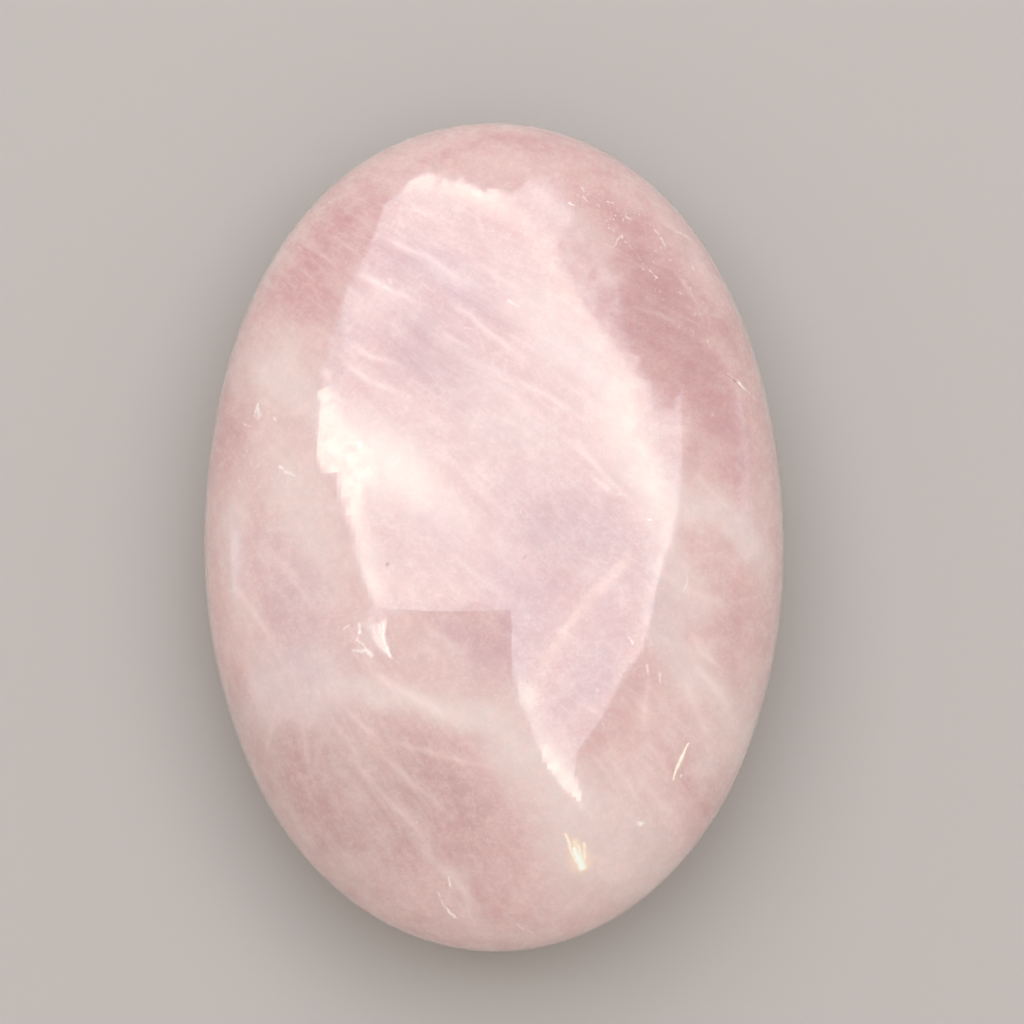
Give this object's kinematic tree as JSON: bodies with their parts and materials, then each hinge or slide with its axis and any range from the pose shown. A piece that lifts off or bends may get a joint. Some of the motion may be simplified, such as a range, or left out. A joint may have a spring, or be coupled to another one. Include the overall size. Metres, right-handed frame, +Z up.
{
  "type": "rose quartz palm stone",
  "caption": "Smooth oval pebble of pink rose quartz, domed on both sides, polished all over and sized to be held in a palm; it rests on a small flat spot.",
  "frame": {"origin": "middle of the small flat spot that the stone rests on", "axes": "+Z up through the thickness, +Y along the length towards the blunter end, +X across the width"},
  "size_m": [0.0488, 0.07, 0.022],
  "materials": {
    "rose_quartz": "polished"
  },
  "bodies": {
    "root": {"palm_stone": "rose_quartz"}
  },
  "joints": []
}
